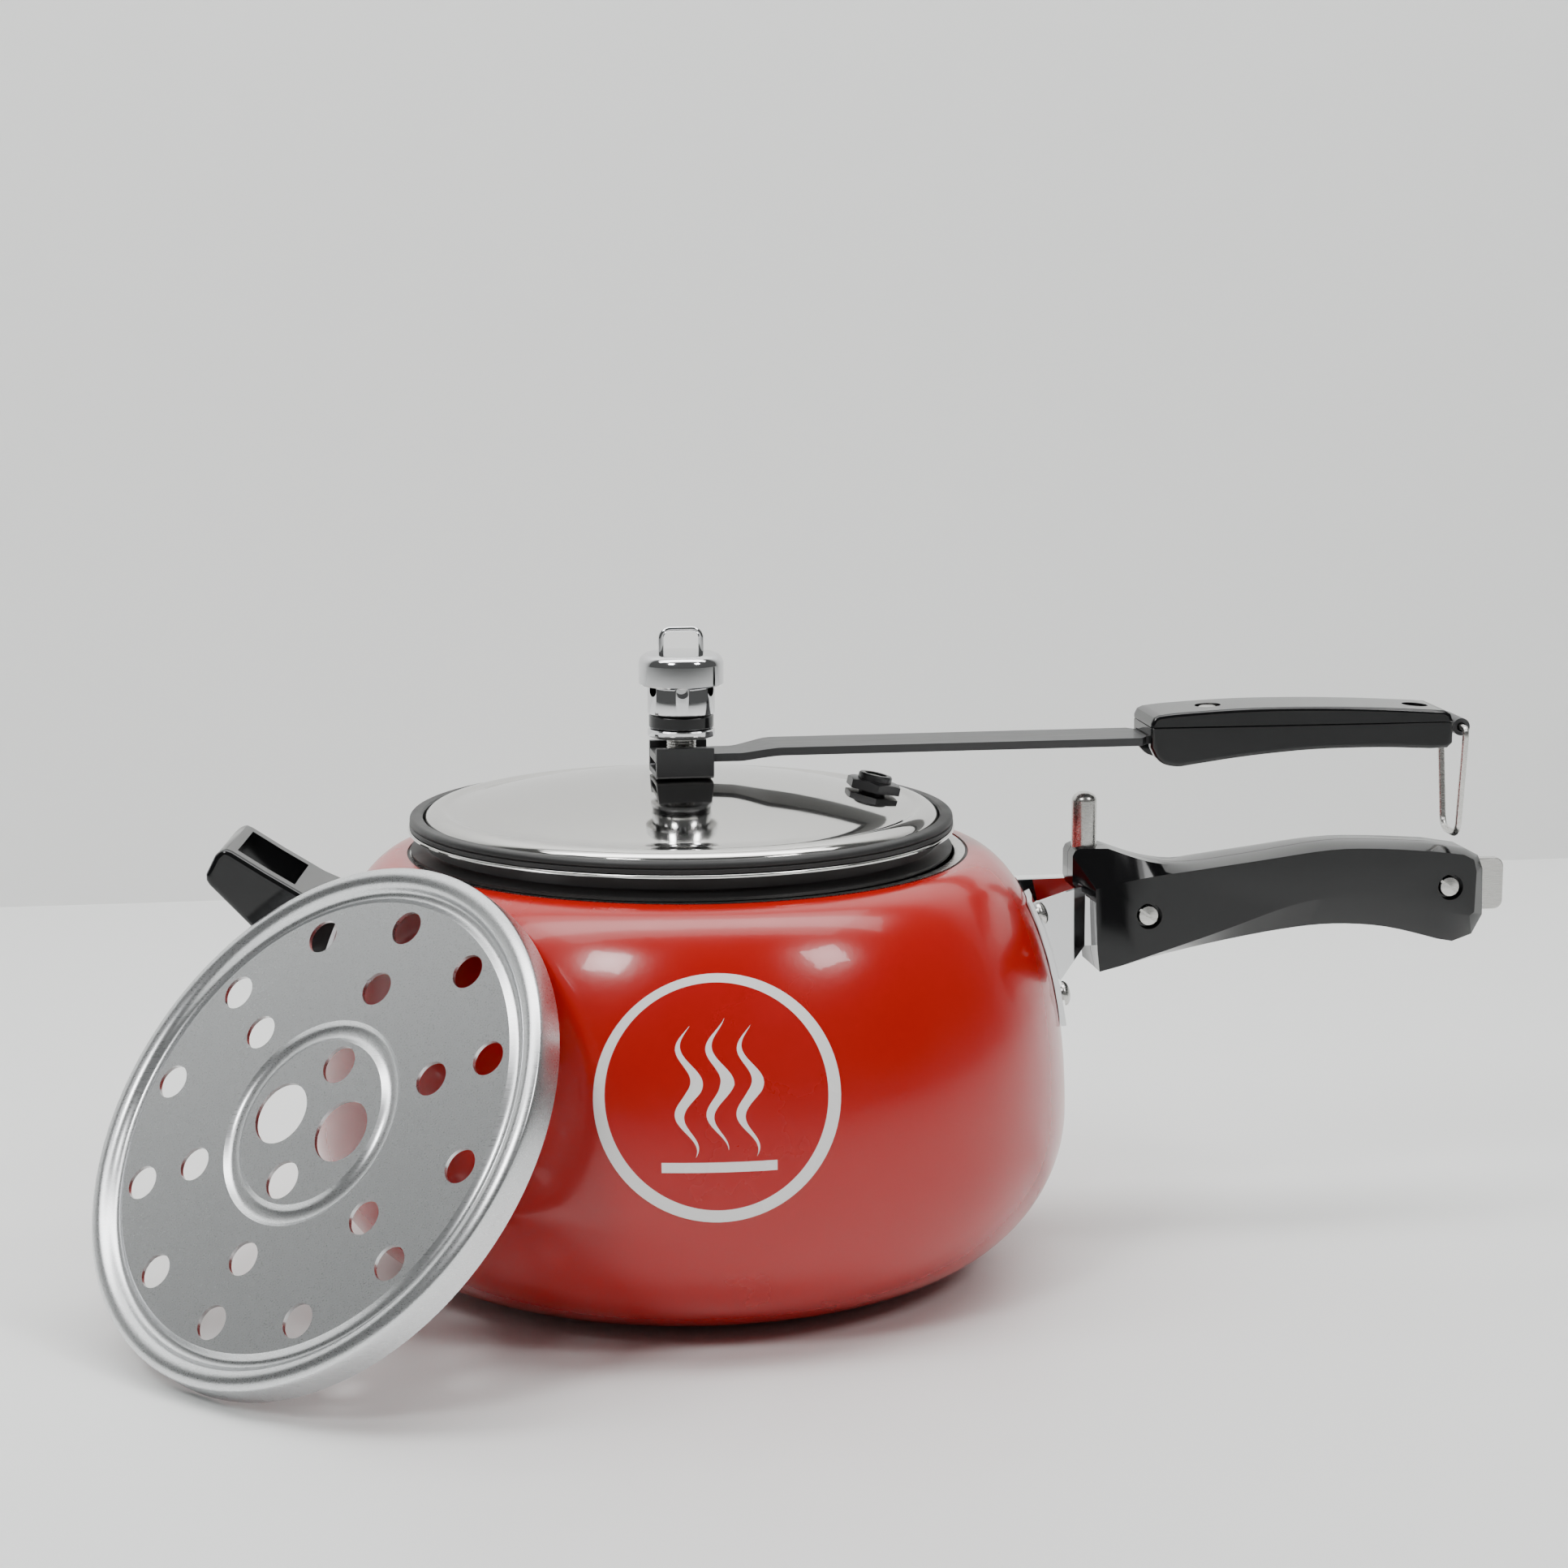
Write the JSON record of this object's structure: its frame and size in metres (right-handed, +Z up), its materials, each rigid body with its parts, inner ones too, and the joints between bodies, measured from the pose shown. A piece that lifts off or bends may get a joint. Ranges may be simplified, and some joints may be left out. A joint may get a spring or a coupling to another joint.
{
  "type": "stovetop pressure cooker",
  "caption": "Rounded red stovetop pressure cooker with a dished lid, lever bar and wire latch, regulator weight, black handles and a perforated grid leaning on it.",
  "frame": {"origin": "centre of the pot's flat base, on the surface it stands on", "axes": "+Z up along the pot's axis; +X towards the long handle and the latch"},
  "size_m": [0.4644, 0.285, 0.2069],
  "materials": {
    "red_coating": "glossy baked coating with a fine orange peel",
    "dark_anodised": "satin hard anodised",
    "polished_steel": "mirror polished stainless steel",
    "chrome": "bright plating",
    "bright_steel": "satin stainless steel",
    "dark_steel": "satin dark grey",
    "black_bakelite": "moulded, glossy",
    "rubber": "matt",
    "fusible_alloy": "dull grey",
    "aluminium": "satin pressed sheet",
    "label_white": "smooth printed label"
  },
  "bodies": {
    "root": {"pot_body": "red_coating", "handle_bracket_front": "chrome", "handle_bracket_back": "chrome", "rivet_front_upper": "bright_steel", "rivet_front_lower": "bright_steel", "rivet_back_upper": "bright_steel", "rivet_back_lower": "bright_steel", "handle_core": "bright_steel", "handle_half_front": "black_bakelite", "handle_half_back": "black_bakelite", "handle_screw_near": "bright_steel", "handle_screw_far": "bright_steel", "handle_nut_near": "bright_steel", "handle_nut_far": "bright_steel", "fulcrum_post": "bright_steel", "support_handle": "black_bakelite", "support_bracket": "chrome", "support_rivet_front": "bright_steel", "support_rivet_back": "bright_steel", "support_screw": "bright_steel"},
    "lid": {"lid_plate": "polished_steel", "gasket": "rubber", "rest_ring": "rubber", "lid_bracket": "dark_steel", "vent_stem": "bright_steel", "vent_nut": "bright_steel", "vent_collar": "bright_steel", "safety_valve": "dark_steel", "safety_plug": "fusible_alloy", "safety_nut": "dark_steel"},
    "bar": {"lid_bar": "dark_steel", "lid_handle": "black_bakelite", "lid_handle_screw_near": "bright_steel", "lid_handle_screw_far": "bright_steel"},
    "latch": {"latch_loop": "bright_steel"},
    "weight": {"weight_base": "chrome", "weight_band": "rubber", "weight_barrel": "chrome", "weight_cap": "chrome", "weight_needle": "bright_steel", "weight_loop": "chrome"},
    "grid": {"grid_plate": "aluminium"}
  },
  "joints": [
    {"name": "lid_lift", "type": "slide", "parent": "root", "child": "lid", "axis": [0, 0, 1], "range_m": [0, 0.15]},
    {"name": "bar_rock", "type": "hinge", "parent": "lid", "child": "bar", "pos_m": [-0.002, 0, 0.1654], "axis": [0, 1, 0], "range_deg": [-4, 0]},
    {"name": "latch_swing", "type": "hinge", "parent": "bar", "child": "latch", "pos_m": [0.25555, 0, 0.1693], "axis": [0, 1, 0], "range_deg": [-80, 6]},
    {"name": "weight_lift", "type": "slide", "parent": "lid", "child": "weight", "axis": [0, 0, 1], "range_m": [0, 0.05]},
    {"name": "grid_lift", "type": "slide", "parent": "root", "child": "grid", "axis": [-0.6287, -0.5091, 0.5878], "range_m": [0, 0.15]}
  ]
}
